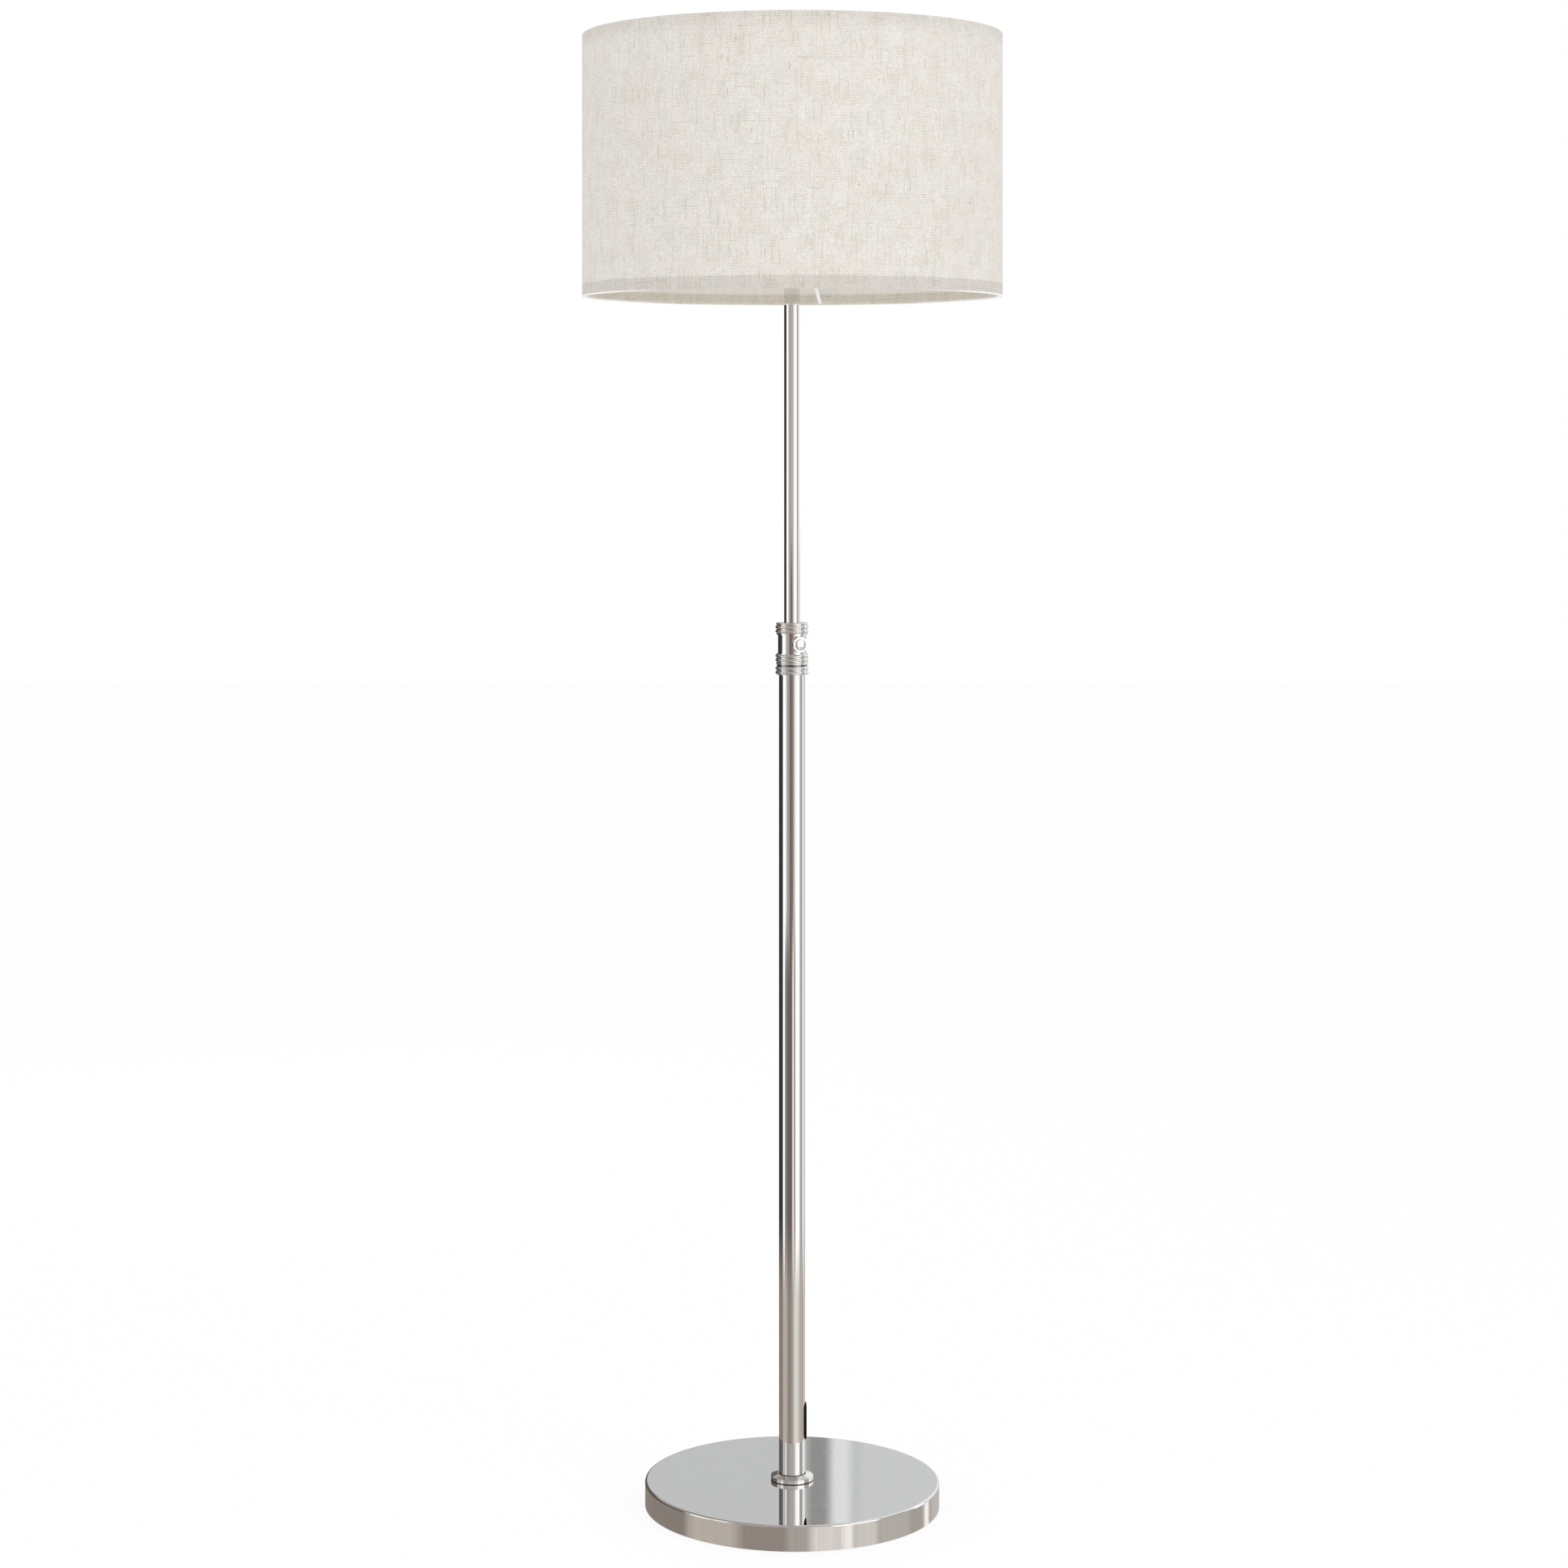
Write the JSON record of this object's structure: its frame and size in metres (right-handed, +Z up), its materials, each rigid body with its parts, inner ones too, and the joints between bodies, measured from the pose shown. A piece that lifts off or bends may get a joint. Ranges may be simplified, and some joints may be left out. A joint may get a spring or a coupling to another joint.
{
  "type": "telescopic floor lamp",
  "caption": "Telescopic floor lamp: round weighted chrome base, chromed column, clamp collar with lock knob, sliding mast, lampholder and white linen drum shade.",
  "frame": {"origin": "centre of the base's underside, on the floor", "axes": "+Z up along the column, -Y towards the front as pictured, +X to the right"},
  "size_m": [0.4499, 0.45, 1.5746],
  "materials": {
    "polished_chrome": "mirror-polished chrome plate",
    "cast_iron": "rough casting, black primer",
    "grey_felt": "pressed felt",
    "zinc_steel": "bright zinc plate",
    "black_rubber": "moulded, satin",
    "black_sheath": "extruded sheath, satin",
    "nylon": "moulded natural nylon",
    "brass": "turned brass",
    "white_powder_coat": "smooth white powder coat",
    "white_plastic": "moulded white plastic",
    "porcelain": "glazed porcelain",
    "natural_linen": "plain-woven natural linen with slubs, laminated",
    "opal_glass": "opal white glass",
    "nickel_plate": "satin nickel plate",
    "black_glass": "black vitreous insulator"
  },
  "bodies": {
    "column": {"base_pad": "grey_felt", "base_weight": "cast_iron", "base_cover": "polished_chrome", "base_nut": "zinc_steel", "base_washer": "zinc_steel", "base_stud": "zinc_steel", "foot_gasket": "black_rubber", "foot_collar": "polished_chrome", "column_seal": "black_rubber", "foot_plug": "zinc_steel", "column_tube_lower": "polished_chrome", "cord_grommet": "black_rubber", "lead_connector": "nylon", "column_lead": "black_sheath", "column_coupler": "zinc_steel", "column_tube_upper": "polished_chrome", "column_spigot": "zinc_steel", "ferrule_ring": "polished_chrome", "ferrule_washer": "black_rubber", "lower_guide_bush": "nylon", "clamp_body": "polished_chrome", "upper_guide_bush": "nylon", "lock_insert": "brass"},
    "pressure_pad": {"lock_pad": "nylon"},
    "knob": {"lock_screw": "zinc_steel", "lock_knob": "polished_chrome"},
    "glide": {"mast_glide": "nylon"},
    "mast": {"mast_foot": "brass", "glide_clip": "zinc_steel", "mast_tube": "polished_chrome", "mast_lead": "black_sheath", "mast_plug": "zinc_steel", "mast_nipple": "brass", "check_nut": "brass", "holder_cap": "white_plastic", "holder_insert": "porcelain", "terminal_screws": "brass", "centre_contact": "brass", "screw_shell": "brass", "holder_skirt": "white_plastic", "shade_ring_lower": "white_plastic", "shade_ring_upper": "white_plastic", "spider_frame": "white_powder_coat", "shade_top_ring": "white_powder_coat", "shade_fabric": "natural_linen", "bottom_hem": "natural_linen", "top_hem": "natural_linen", "bulb_contact": "nickel_plate", "bulb_insulator": "black_glass", "bulb_cap": "nickel_plate", "bulb_glass": "opal_glass"}
  },
  "joints": [
    {"name": "mast_slide", "type": "slide", "parent": "column", "child": "glide", "axis": [0, 0, 1], "range_m": [-0.13, 0.2], "deforming": ["column_lead"]},
    {"name": "mast_swivel", "type": "hinge", "parent": "glide", "child": "mast", "pos_m": [0, 0, 0.65], "axis": [0, 0, 1], "range_deg": [-175, 175]},
    {"name": "pad_travel", "type": "slide", "parent": "column", "child": "pressure_pad", "axis": [0.4226, -0.9063, 0], "range_m": [0, 0.001]},
    {"name": "knob_turn", "type": "hinge", "parent": "pressure_pad", "child": "knob", "pos_m": [0, 0, 0.923], "axis": [0.4226, -0.9063, 0], "range_deg": [0, 360]}
  ],
  "couplings": [
    {"joint": "pad_travel", "follows": "knob_turn", "m_per_rad": 0.00015915}
  ]
}
